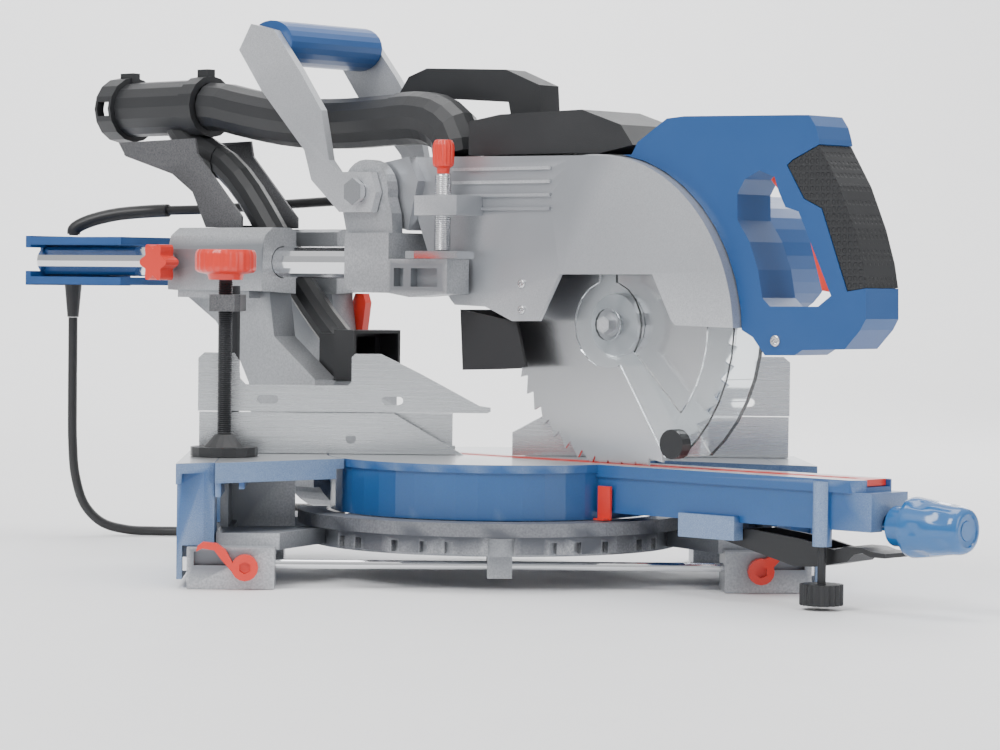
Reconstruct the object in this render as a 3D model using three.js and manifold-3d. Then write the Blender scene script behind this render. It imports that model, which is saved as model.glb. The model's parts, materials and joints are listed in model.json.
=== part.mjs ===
// Sliding double-bevel mitre saw, 216 mm blade, with its base, fences, sliding table
// extensions, material clamp, dust duct and mains lead.
// Millimetres, +Z up. The base is square to the frame: +X to the operator's right,
// +Y to the rear, floor at z = 0. The turntable arm and everything it carries is
// swung 45 degrees to the right, and is drawn in a turned group whose local axes are
// x across the arm, -y ("f", forward) along it and z up.
import * as THREE from 'three';
import { mergeVertices, mergeGeometries } from 'three/addons/utils/BufferGeometryUtils.js';
import Module from 'manifold-3d';

const wasm = await Module();
wasm.setup();

// ---------- driving dimensions ----------
const MITRE = Math.PI / 4;      // rest swing of the turntable arm
const ORIGIN = [37.23, -37.23, 0]; // shift that puts the origin under the middle of the saw
const T = 90.5;                 // table height
const GAP = 0.3;                // gap between touching pieces
const DRUM_R = 125, LIP_R = 127;
const ARM_HALF = 23, SLAB_END = 361, BODY_END = 370.6;
const BLADE_R = 108, BLADE_F = 127, BLADE_Z = 193, BORE_R = 15, TEETH = 48;
const GUARD_F = 122, GUARD_Z = 186, GUARD_R = 131.5, GUARD_HALF = 28, WALL = 3;
const PIVOT_F = -93, PIVOT_Z = 291.5;
const RAIL_X = 37, RAIL_Z = 237, RAIL_R = 12.5, RAIL_BACK = -491.5, RAIL_FRONT = -62;
const FENCE_Y = 0, FENCE_SPLIT = 122.5;
const EXT_X = 234, WING_X = 206.6;
const ROD_Y = -120, ROD_YR = 112, ROD_Z = 17, ROD_R = 3.3;
const CORD_R = 4;

// ---------- helpers ----------
const toSolid = (g) => {
  let q = g.index ? g : g.clone();
  q = q.clone();
  for (const k of Object.keys(q.attributes)) if (k !== 'position') q.deleteAttribute(k);
  q = mergeVertices(q, 1e-4);
  const p = q.attributes.position.array;
  let t = Array.from(q.index.array);
  const keep = [];
  for (let i = 0; i < t.length; i += 3) {
    const [a, b, c] = [t[i], t[i + 1], t[i + 2]];
    if (a !== b && b !== c && a !== c) keep.push(a, b, c);
  }
  t = keep;
  let v = 0;
  for (let i = 0; i < t.length; i += 3) {
    const [a, b, c] = [t[i] * 3, t[i + 1] * 3, t[i + 2] * 3];
    v += p[a] * (p[b + 1] * p[c + 2] - p[b + 2] * p[c + 1])
       - p[a + 1] * (p[b] * p[c + 2] - p[b + 2] * p[c])
       + p[a + 2] * (p[b] * p[c + 1] - p[b + 1] * p[c]);
  }
  if (v < 0) for (let i = 0; i < t.length; i += 3) { const s = t[i]; t[i] = t[i + 1]; t[i + 1] = s; }
  const mesh = new wasm.Mesh({ numProp: 3, vertProperties: new Float32Array(p), triVerts: new Uint32Array(t) });
  return new wasm.Manifold(mesh);
};
const toGeometry = (m) => {
  const k = m.getMesh();
  const g = new THREE.BufferGeometry();
  const n = k.vertProperties.length / k.numProp;
  const pos = new Float32Array(n * 3);
  for (let i = 0; i < n; i++) for (let j = 0; j < 3; j++) pos[i * 3 + j] = k.vertProperties[i * k.numProp + j];
  g.setAttribute('position', new THREE.BufferAttribute(pos, 3));
  g.setIndex(Array.from(k.triVerts));
  g.computeVertexNormals();
  return g;
};
const join = (...a) => a.reduce((x, y) => x.add(y));
const cut = (a, ...b) => b.reduce((x, y) => x.subtract(y), a);
const shapeOf = (pts) => new THREE.Shape(pts.map(([a, b]) => new THREE.Vector2(a, b)));
const extrude = (pts, depth, holes = []) => {
  const s = shapeOf(pts);
  for (const h of holes) s.holes.push(new THREE.Path(h.map(([a, b]) => new THREE.Vector2(a, b))));
  return new THREE.ExtrudeGeometry(s, { depth, bevelEnabled: false, steps: 1, curveSegments: 8 });
};
const place = (g, m) => { g.applyMatrix4(m); return toSolid(g); };
const basis = (ux, uy, uz, t) => new THREE.Matrix4().makeBasis(
  new THREE.Vector3(...ux), new THREE.Vector3(...uy), new THREE.Vector3(...uz)).setPosition(...t);
// outline in (x, y), raised from z0 to z1
const slabZ = (pts, z0, z1, holes) => place(extrude(pts, z1 - z0, holes), basis([1, 0, 0], [0, 1, 0], [0, 0, 1], [0, 0, z0]));
// outline in (x, z), thick from y0 to y1
const slabY = (pts, y0, y1, holes) => place(extrude(pts, y1 - y0, holes), basis([1, 0, 0], [0, 0, 1], [0, -1, 0], [0, y1, 0]));
// arm-frame outline in (f, z), thick from x0 to x1; f points along -y
const slabX = (pts, x0, x1, holes) => place(extrude(pts, x1 - x0, holes), basis([0, -1, 0], [0, 0, 1], [-1, 0, 0], [x1, 0, 0]));
const box = (x0, x1, y0, y1, z0, z1) => {
  const g = new THREE.BoxGeometry(x1 - x0, y1 - y0, z1 - z0);
  g.translate((x0 + x1) / 2, (y0 + y1) / 2, (z0 + z1) / 2);
  return toSolid(g);
};
// box in the arm frame, given by x, f and z
const boxF = (x0, x1, f0, f1, z0, z1) => box(x0, x1, -f1, -f0, z0, z1);
const rod = (axis, c, a0, a1, r, seg = 24, r2 = r) => {
  // turned piece along x, y or z; c gives the two other coordinates
  const g = new THREE.CylinderGeometry(r2, r, a1 - a0, Math.max(r, r2) > 30 ? seg : Math.min(seg, 16));
  const mid = (a0 + a1) / 2;
  if (axis === 'z') { g.rotateX(Math.PI / 2); g.translate(c[0], c[1], mid); }
  if (axis === 'y') { g.translate(c[0], mid, c[1]); }
  if (axis === 'x') { g.rotateZ(-Math.PI / 2); g.translate(mid, c[0], c[1]); }
  return toSolid(g);
};
// turned piece across the arm (along x) at forward distance f and height z
const rodX = (f, z, x0, x1, r, seg, r2) => rod('x', [-f, z], x0, x1, r, seg, r2);
// turned piece along the arm: from f0 (rear) to f1 (front); r at the rear, r2 at the front
const rodF = (x, z, f0, f1, r, seg = 24, r2 = r) => rod('y', [x, z], -f1, -f0, r2, seg, r);
const circle = (cx, cy, r, n, a0 = 0, a1 = Math.PI * 2) => {
  const full = Math.abs(a1 - a0 - Math.PI * 2) < 1e-6, out = [];
  const m = full ? n : n + 1;
  for (let i = 0; i < m; i++) { const a = a0 + (a1 - a0) * i / n; out.push([cx + r * Math.cos(a), cy + r * Math.sin(a)]); }
  return out;
};
const rad = (d) => d * Math.PI / 180;
// tube along a smooth curve through points
const tube = (pts, r, sides, steps) => {
  const c = new THREE.CatmullRomCurve3(pts.map((p) => new THREE.Vector3(...p)), false, 'centripetal');
  return toSolid(new THREE.ExtrudeGeometry(shapeOf(circle(0, 0, r, sides)), { steps, bevelEnabled: false, extrudePath: c }));
};
const A = (x, f, z) => [x, -f, z];
const wavy = (r, d, n, k = 4) => { // knurled outline
  const out = [];
  for (let i = 0; i < n * k; i++) { const a = 2 * Math.PI * i / (n * k); out.push([(r + d * Math.cos(n * a)) * Math.cos(a), (r + d * Math.cos(n * a)) * Math.sin(a)]); }
  return out;
};
const shift = (pts, a, b) => pts.map(([x, y]) => [x + a, y + b]);

const root = new THREE.Group();
const baseGroup = new THREE.Group();
const armGroup = new THREE.Group();
baseGroup.position.set(...ORIGIN);
armGroup.position.set(...ORIGIN);
armGroup.rotation.z = MITRE;
root.add(baseGroup, armGroup);
const put = (group, name, solid, color, roughness = 0.5, metalness = 0) => {
  const m = new THREE.Mesh(toGeometry(solid), new THREE.MeshStandardMaterial({ color, roughness, metalness }));
  m.name = name;
  group.add(m);
};
const BLUE = 0x1c5a94, GREY = 0x8d949b, CAST = 0x5d6369, SILVER = 0xb9bcc0, BLACK = 0x17181a, RED = 0xe0301e, STEEL = 0xc8cacc, CLEAR = 0xdfe9ee;

// ================= base =================
{
  const ring = slabZ(circle(0, 0, 140, 40), 25, 39.4, [circle(0, 0, 112, 28).reverse()]);
  const hub = slabZ(circle(0, 0, 34, 24), 25, 39.4, [circle(0, 0, 12.4, 20).reverse()]);
  const spokes = join(cut(box(-118, 118, -14, 14, 25, 38), rod('z', [0, 0], 20, 45, 30, 24)),
    cut(box(-14, 14, -118, 118, 25, 38), rod('z', [0, 0], 20, 45, 30, 24)));
  let s = join(ring, hub, spokes);
  for (const sx of [-1, 1]) {
    const X = (a, b) => sx < 0 ? [-b, -a] : [a, b];
    const [f0, f1] = X(163, 226);
    for (const [y0, y1] of [[-137, -98], [96, 134]]) {
      s = s.add(box(f0, f1, y0, y1, 0, 30));
    }
    // arms from the ring to the feet, and the side rail between the feet
    const fr = sx < 0 ? [[-206, -118], [-160, -118], [-138, -75], [-116, -36], [-206, -60]] : [[206, -118], [206, -60], [116, -36], [138, -75], [160, -118]];
    const re = fr.map(([a, b]) => [a, -b]);
    s = join(s, slabZ(fr, 27, 39), slabZ(re, 27, 39));
    s = s.add(box(...X(196, 206), -100, 100, 27, 39));
    // web under the wing table
    s = s.add(box(...X(152, 206), 2, 8, 27, T - 8.2));
    s = s.add(box(...X(200, 206), -60, 30, 27, T - 8.2));
    // pocket in the front face of the foot, above the lever
    s = s.subtract(box(...X(196, 221), -140, -129, 17, 27));
  }
  // guide that holds the middle of the front rods
  s = s.add(box(-9, 9, ROD_Y - 6, -100, 8, 30));
  s = s.add(box(-9, 9, -120, -100, 22, 38));
  for (const y of [ROD_Y, ROD_YR]) s = s.subtract(rod('x', [y, ROD_Z], -240, 240, ROD_R + 0.5, 20));
  put(baseGroup, 'base_casting', s, CAST, 0.55, 0.4);
}
// scale and detent ring around the front half
{
  const out = circle(0, 0, 150, 32, rad(172), rad(368)), inn = circle(0, 0, 128.5, 32, rad(172), rad(368)).reverse();
  let s = slabZ([...out, ...inn], 39.8, 49.6);
  const low = slabZ([...circle(0, 0, 146, 18, rad(216), rad(324)), ...circle(0, 0, 140.7, 18, rad(216), rad(324)).reverse()], 27, 40.5);
  s = s.add(low);
  for (const d of [-52, -45, -31.6, -22.5, -15, 0, 15, 22.5, 31.6, 45, 52, 60]) {
    const a = rad(-90 + d);
    const n = new THREE.BoxGeometry(20, 6, 9); n.rotateZ(a); n.translate(146 * Math.cos(a), 146 * Math.sin(a), 31);
    s = s.subtract(toSolid(n));
  }
  // clear of the rod guide
  s = s.subtract(box(-9.5, 9.5, -160, -95, 20, 38.5));
  put(baseGroup, 'detent_plate', s, 0x74797e, 0.45, 0.5);
}
// wing tables either side of the turntable
const FRONT = [[-129, -57.5, 114], [-90.5, -41, 121]];
for (const [sx, name] of [[-1, 'wing_left'], [1, 'wing_right']]) {
  const m = (p) => sx < 0 ? p : p.map(([a, b]) => [-a, b]).reverse();
  const [y0, y1, x1] = FRONT[sx < 0 ? 0 : 1]; // front edge, cut back to clear the arm at its far swing
  const top = m([[-WING_X, y0], [-x1, y1], [-60, -50], [-60, 30], [-WING_X, 30]]);
  let s = slabZ(top, T - 7.5, T);
  const skirt = m([[-WING_X, y0], [-x1 - 6, y1 - 4.6], [-x1 - 8, y1 - 0.8], [-WING_X, y0 + 5]]);
  s = s.add(slabZ(skirt, T - 15, T - 7));
  // gusset under the outer front corner
  const gus = m([[-WING_X, y0 + 4], [-WING_X + 4, y0 + 4], [-WING_X + 4, -61], [-WING_X, -61]]);
  s = s.add(slabZ(gus, T - 25, T - 7));
  const rib = m([[-190, y0 + 16], [-186, y0 + 18], [-186, -20], [-190, -20]]);
  s = s.add(slabZ(rib, T - 20, T - 7));
  s = s.subtract(rod('z', [0, 0], T - 40, T + 5, LIP_R + 1.2, 48));
  put(baseGroup, name, s, BLUE, 0.4, 0.3);
}
// sliding table extensions with their rods and cam levers
for (const [sx, n] of [[-1, 'left'], [1, 'right']]) {
  const X = (a, b) => sx < 0 ? [-b, -a] : [a, b];
  const y0 = FRONT[sx < 0 ? 0 : 1][0], ye = y0 - (sx < 0 ? 21 : 15.6);
  const P = (p) => sx < 0 ? p : p.map(([a, b]) => [-a, b]).reverse();
  let s = slabZ(P([[-EXT_X, ye], [-WING_X - 0.6, y0 - 0.4], [-WING_X - 0.6, 30], [-EXT_X, 30]]), T - 7.5, T);
  s = s.add(slabZ(P([[-EXT_X, ye], [-WING_X - 0.6, y0 - 0.4], [-WING_X - 0.6, y0 + 6], [-EXT_X, ye + 6]]), T - 15, T - 7));
  s = s.add(box(...X(EXT_X - 4, EXT_X), ye + 4, 30, T - 15, T - 7));
  s = s.add(box(...X(WING_X + 0.6, EXT_X), Math.max(ye + 14, -128), -84, 30.5, T - 7));
  s = s.add(box(...X(WING_X + 0.6, EXT_X), 96, 118, 30.5, T - 30));
  s = s.add(box(...X(EXT_X - 4, EXT_X), -128, 118, 6, 40));
  s = s.add(box(...X(EXT_X - 4, EXT_X), -110, 30, 39, T - 7));
  s = s.add(box(...X(EXT_X - 4, EXT_X), 90, 118, 39, T - 30));
  // clear of the turntable arm at the end of its swing
  s = s.subtract(boxF(-29.5, 26, 120, 420, 24, T + 5).rotate([0, 0, sx < 0 ? -52.4 : 60.6]));
  put(baseGroup, 'extension_' + n, s, BLUE, 0.4, 0.3);
  const end = sx < 0 ? [-EXT_X + 4.3, -2.5] : [2.5, EXT_X - 4.3];
  let r = join(rod('x', [ROD_Y, ROD_Z], ...end, ROD_R, 16), rod('x', [ROD_YR, ROD_Z], ...end, ROD_R, 16),
    box(...X(226.4, EXT_X - 4.3), ROD_Y - 5, ROD_YR + 5, 12, 22));
  put(baseGroup, 'rod_' + n, r, STEEL, 0.15, 1);
  const c = sx < 0 ? -184 : 188.5;
  let l = rod('y', [c, 16], -145, -137.4, 9.6, 28);
  const d = sx < 0
    ? [[-9, 4], [-14, 13], [-20, 17.5], [-30, 18.5], [-34, 15.5], [-35, 11.5], [-30.5, 13.8], [-22, 12.5], [-17, 6], [-9.2, -3]]
    : [[-4, 8.6], [3, 9.4], [10, 13], [17, 19.2], [26, 19.4], [28.5, 16.5], [22, 15.2], [16, 11], [9, 3.5], [4, 0]];
  l = l.add(slabY(shift(d, c, 16), -144.4, -138.2));
  l = l.subtract(rod('y', [c, 16], -146, -142, 4.5, 6));
  put(baseGroup, 'ext_lever_' + n, l, RED, 0.35, 0);
}
// fixed lower fences
{
  let s = slabY([[-225.5, T + 0.4], [-24, T + 0.4], [-78, FENCE_SPLIT - 0.5], [-225.5, FENCE_SPLIT - 0.5]], FENCE_Y, 7);
  s = s.add(box(-225.5, -30, 6, 26, T + 0.4, T + 7));
  s = s.add(box(-90, -22, 15, 21, T + 0.4, FENCE_SPLIT - 0.5));
  for (const x of [-221, -140, -64]) s = s.add(box(x - 3, x + 3, 13.6, 26, T + 0.4, T + 24));
  s = s.add(rod('z', [-202, 22.5], T + 0.4, T + 12, 8.9, 20));
  s = s.subtract(rod('y', [-110, 102.4], -2, 9, 4, 20));
  s = s.subtract(rod('z', [-202, 22.5], T - 5, T + 20, 6.4, 20));
  s = s.subtract(box(-3, 80, -80, 80, 80, 180).rotate([0, 0, 60])).subtract(box(-2.2, 60, -80, 80, 80, 180).rotate([0, 0, 45]));
  put(baseGroup, 'fence_left', s, SILVER, 0.32, 0.9);
  let r = slabY([[13.5, T + 0.4], [225.5, T + 0.4], [225.5, FENCE_SPLIT - 0.5], [39.5, FENCE_SPLIT - 0.5], [36, 120.8], [13.5, 108.4]], FENCE_Y, 7);
  r = r.add(box(24, 225.5, 6, 26, T + 0.4, T + 7));
  for (const x of [221, 140, 50]) r = r.add(box(x - 3, x + 3, 13.6, 26, T + 0.4, T + 24));
  r = r.subtract(box(-60, 3, -80, 80, 80, 180).rotate([0, 0, -52]));
  put(baseGroup, 'fence_right', r, SILVER, 0.32, 0.9);
}
// sliding upper fences, each with a tongue that runs behind the lower one
{
  const U = [[-226.5, FENCE_SPLIT + 0.3], [-6, FENCE_SPLIT + 0.3], [-1.8, 124.6], [-2.4, 127], [-12, 128.4], [-57.7, 152.8], [-87.4, 167.2], [-107, 167.2],
    [-109.8, 164.5], [-109.8, 145.6], [-112.6, 143], [-190.5, 143], [-194.7, 147.4], [-195.8, 161], [-199.2, 166.9], [-222, 167.2], [-226.5, 163]];
  const slot = (cx, cz, hw, r) => [...circle(cx + hw, cz, r, 8, -Math.PI / 2, Math.PI / 2), ...circle(cx - hw, cz, r, 8, Math.PI / 2, Math.PI * 1.5)];
  let s = slabY(U, FENCE_Y, 7, [slot(-173.5, 132, 5, 3.2).reverse(), slot(-78.5, 131.5, 5, 3.2).reverse()]);
  s = s.add(box(-160, -92, 6, 13, FENCE_SPLIT + 0.8, 142)).add(box(-160, -92, 7.4, 13, 104, 142));
  // the inner end is cut back along the blade
  s = s.subtract(box(-2.2, 60, -80, 80, 80, 180).rotate([0, 0, 45])).subtract(box(-1.7, 80, -80, 80, 80, 180).rotate([0, 0, 60]));
  put(baseGroup, 'fence_slide_left', s, SILVER, 0.32, 0.9);
  const V = [[40.2, FENCE_SPLIT + 0.3], [226, FENCE_SPLIT + 0.3], [226, 164], [221, 168.2], [203, 168.2], [199.5, 165], [199.5, 147.5], [196, 144.8], [150, 144.8], [135, 156],
    [128, 158], [110, 158], [92, 150]];
  let r = slabY(V, FENCE_Y, 7, [slot(190, 133, 6, 3.2).reverse()]);
  r = r.add(box(92, 160, 6, 13, FENCE_SPLIT + 0.8, 142)).add(box(92, 160, 7.4, 13, 104, 142));
  put(baseGroup, 'fence_slide_right', r, SILVER, 0.32, 0.9);
}
// material clamp: post behind the fence, arm over it, screw with knob, swivelling pad
{
  const px = -202, py = 22.5, sxx = -204.4, sy = -40;
  put(baseGroup, 'clamp_post', rod('z', [px, py], T + 0.3, 218, 6, 20).add(rod('z', [px, py], T + 12.4, T + 15.5, 8.8, 20)), BLACK, 0.4, 0.6);
  let arm = slabZ([[-212, 34], [-192, 34], [-191, 0], [-193, -48], [-197, -53], [-212, -53], [-216, -48], [-217, 0]], 199, 211.5);
  arm = cut(arm, rod('z', [px, py], 190, 230, 6.35, 24), rod('z', [sxx, sy], 190, 230, 6.2, 24));
  put(baseGroup, 'clamp_arm', arm, BLACK, 0.45, 0.5);
  let screw = rod('z', [sxx, sy], 107.4, 224, 5.6, 20);
  screw = screw.add(slabZ(shift(wavy(22.2, 0.9, 18), sxx, sy), 222.6, 245.4));
  put(baseGroup, 'clamp_screw', screw, RED, 0.4, 0);
  let pad = rod('z', [sxx, sy], T + 0.4, 97.6, 25.2, 36).add(rod('z', [sxx, sy], 97.4, 107, 16, 28, 7));
  put(baseGroup, 'clamp_pad', pad, BLACK, 0.6, 0);
}

// ================= turntable and arm =================
{
  let s = slabZ(circle(0, 0, DRUM_R, 48), 50, T).add(slabZ(circle(0, 0, LIP_R, 48), T - 6, T));
  s = s.subtract(slabZ(circle(0, 0, DRUM_R - 5, 32), 45, T - 9));
  s = s.add(slabZ(circle(0, 0, 30, 24), 40, T - 8)).add(slabZ(circle(0, 0, 12, 20), 20, 45));
  for (const a of [0, 1, 2]) { const b = new THREE.BoxGeometry(244, 5, 26); b.rotateZ(a * Math.PI / 3 + 0.2); b.translate(0, 0, T - 19); s = s.add(toSolid(b)); }
  // arm slab with bevelled front corners, and the channel-shaped beam under it
  const f = (pts) => pts.map(([x, fd]) => [x, -fd]);
  s = s.add(slabZ(f([[-23, 90], [23, 90], [23, SLAB_END - 8], [15, SLAB_END], [-15, SLAB_END], [-23, SLAB_END - 8]]).reverse(), T - 9, T));
  s = s.add(boxF(-21, 21, 110, BODY_END, 55.5, T - 8.5));
  s = s.subtract(boxF(-17.5, 17.5, 127, BODY_END - 4, 50, T - 13));
  s = s.subtract(boxF(-30, 30, 104, 135, 40, 49.9));
  // boss for the support foot and block for the lock rod
  s = s.add(rod('z', [-21, -329], 43.5, T - 2, 6.8, 24));
  s = s.add(boxF(-27, -17, 205, 256, 43, 60));
  s = s.subtract(rod('z', [-21, -329], 40, 76, 3.6, 20));
  // rear neck and the tilt trunnion
  s = s.add(boxF(-25, 25, -150, -110, 52, T - 8));
  s = s.add(rodF(0, T, -150, -131, 40, 40));
  s = s.subtract(rodF(0, T, -152, -128.5, 10.4, 24));
  s = s.subtract(boxF(-60, 60, -131.2, 0, T, 140));
  // kerf slot with a ledge for the insert
  s = s.subtract(boxF(-13.3, 13.3, -76.5, SLAB_END + 2, 85.5, T + 3));
  s = s.subtract(boxF(-8, 8, -72, SLAB_END - 12, 72, 86));
  s = s.subtract(rodF(0, 59, 355, 380, 9, 24));
  put(armGroup, 'turntable', s, BLUE, 0.38, 0.35);
  let k = boxF(-13, 13, -76, SLAB_END - 3.5, 86, T);
  k = k.subtract(boxF(-3.4, 3.4, -68, SLAB_END - 18, 80, T + 5));
  put(armGroup, 'kerf_insert', k, RED, 0.45, 0);
  put(armGroup, 'mitre_pointer', boxF(-25.2, -23.3, 127, 139, 50.3, 75).add(boxF(-31, -23.3, 128, 138, 50.3, 51.6)), RED, 0.4, 0);
  let foot = rod('z', [-21, -329], 17, 73, 3, 16).add(slabZ(shift(wavy(14.6, 0.6, 20), -21, -329), 3, 17.5));
  put(armGroup, 'support_foot', foot, BLACK, 0.5, 0);
  let knob = rodF(0, 59.5, 376, 389.5, 14, 28, 14).add(rodF(0, 59.5, 389, 394, 19.5, 28, 21.2)).add(rodF(0, 59.5, 394, 430, 21.2, 28, 16.6)).add(rodF(0, 59.5, 430, 436, 16.6, 28, 13.2));
  knob = knob.add(rodF(0, 59.5, 300, 378, 5, 20));
  put(armGroup, 'mitre_knob', knob, 0x1a5fa3, 0.25, 0);
  const lev = [[236, 49], [262, 51], [305, 47], [335, 41], [345, 44], [358, 44], [366, 42], [378, 41], [378, 38], [366, 38], [359, 40.5], [352, 39], [346, 33.5], [318, 28.2], [300, 27.5], [236, 42]];
  put(armGroup, 'detent_lever', slabX(lev, -15, 15).subtract(boxF(-12.5, 12.5, 250, 331, 37.5, 60)), BLACK, 0.5, 0);
}

// ================= tilting arm =================
{
  const side = [[-309.5, 213], [-267, 189], [-239, 160], [-227, 140], [-218, 60], [-151, 60], [-151, 145], [-198, 178], [-204, 213]];
  let s = slabX(side, -46, 46);
  s = s.subtract(boxF(-23, 23, -278, -150, 143, 225));
  s = s.subtract(slabX([[-300, 200], [-255, 172], [-236, 146], [-226, 143], [-226, 225], [-300, 225]], -23, 23));
  s = s.add(rodF(0, T, -186, -151, 50, 32));
  // bearing towers
  const tower = [[-60, 214], [-22.8, 212], [-22.8, 262], [-30, 264.5], [-48, 264.5], [-57, 258], [-60, 247]];
  const tw = (m) => { const g = extrude(m < 0 ? tower : tower.map(([a, b]) => [-a, b]).reverse(), 112); g.applyMatrix4(basis([1, 0, 0], [0, 0, 1], [0, -1, 0], [0, 310, 0])); return toSolid(g); };
  s = s.add(tw(-1)).add(tw(1)).add(boxF(-30, 30, -310, -277, 213, 264.5));
  s = s.add(boxF(-58, -20, -300, -215, 208, 216)).add(boxF(20, 58, -300, -215, 208, 216));
  for (const x of [-RAIL_X, RAIL_X]) s = s.subtract(rodF(x, RAIL_Z, -320, -190, RAIL_R + 0.45, 24));
  s = s.subtract(rodF(0, T, -240, -149, 10.4, 20));
  s = s.subtract(boxF(-80, 80, -150.7, -120, 30, 220));
  // clamping screw boss on the near side
  s = s.add(rodX(-306, RAIL_Z - 1, -66, -59, 7, 20)).subtract(rodX(-306, RAIL_Z - 1, -70, -52, 3.4, 16));
  put(armGroup, 'tilt_arm', s, GREY, 0.42, 0.5);
  put(armGroup, 'tilt_bolt', rodF(0, T, -228, -129.4, 10, 20).add(rodF(0, T, -234, -224, 16, 6)), STEEL, 0.3, 1);
  const star = []; for (let i = 0; i < 48; i++) { const a = i / 48 * 2 * Math.PI; const r = 13.6 + 2.8 * Math.cos(6 * a); star.push([-306 + r * Math.cos(a), RAIL_Z - 1 + r * Math.sin(a)]); }
  put(armGroup, 'slide_lock_knob', slabX(star, -80, -66.4).add(rodX(-306, RAIL_Z - 1, -67, -53, 3, 16)), RED, 0.35, 0);
  // bevel lock lever at the right side of the tilting arm
  put(armGroup, 'bevel_lever', rodX(-206, 150, 46.4, 56, 10, 24).add(slabX([[-213, 146], [-199, 146], [-194, 180], [-190, 205], [-193, 212.5], [-202, 212.5], [-206, 205], [-209, 180]], 48, 55)), RED, 0.35, 0);
  // dust bracket: two side sheets on a foot plate
  const br = [[-406, 336.5], [-310, 338.2], [-307, 325.3], [-252.8, 273.8], [-252.8, 265.2], [-296, 265.2], [-312.6, 294.2], [-337.6, 309.3], [-397, 325]];
  let b = slabX(br, -32, -30).add(slabX(br, 30, 32)).add(boxF(-31.5, 31.5, -296, -279, 265.2, 267.2));
  b = b.add(boxF(-31, 31, -400, -392, 326, 328.5));
  put(armGroup, 'dust_bracket', b, BLACK, 0.45, 0.4);
  let m = join(rodF(0, 366, -443, -423, 27.5, 24), rodF(0, 366, -424, -325, 23, 24), rodF(0, 366, -341, -325, 25.5, 24));
  m = m.add(boxF(-4, 4, -437, -421, 385, 397)).add(boxF(-4, 4, -339, -326, 385, 397));
  // branch that takes the lower duct
  const branch = (r, x) => tube([A(x, -368, 356), A(x, -352, 339), A(x, -332, 328.5), A(x, -305, 316)], r, 12, 6);
  m = m.add(branch(13.4, 0));
  m = cut(m, rodF(0, 366, -480, -310, 20, 24), branch(10.6, 0), boxF(-40, 40, -440, -426, 360, 372), boxF(-30, 30, -312.2, -250, 290, 345));
  put(armGroup, 'dust_manifold', m, BLACK, 0.5, 0);
  const run = [A(0, -324, 325), A(0, -304, 315.5), A(0, -280, 296), A(0, -247, 258), A(0, -222, 226), A(0, -190, 192), A(0, -158, 164)];
  let p = tube(run, 12.6, 12, 12);
  p = p.subtract(boxF(-30, 30, -380, -311.8, 290, 345));
  p = p.add(boxF(-26, 26, -150.3, -128, 144, 184)).add(boxF(-21, 21, -172, -150, 147, 181));
  p = p.subtract(boxF(-23.4, 23.4, -149, -120, 146.8, 181.4)).subtract(boxF(-18.6, 18.6, -169, -148, 149.5, 178.6));
  p = p.subtract(tube([A(0, -345, 334), ...run.slice(1)], 10.4, 12, 12));
  put(armGroup, 'dust_duct', p, BLACK, 0.5, 0);
  put(armGroup, 'dust_hose', tube([A(0, -323.2, 366), A(0, -312, 365.6), A(0, -298, 363), A(0, -278, 359), A(0, -219, 350), A(0, -161, 348), A(0, -105.6, 349.7)], 20.3, 14, 12), BLACK, 0.4, 0);
}

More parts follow.
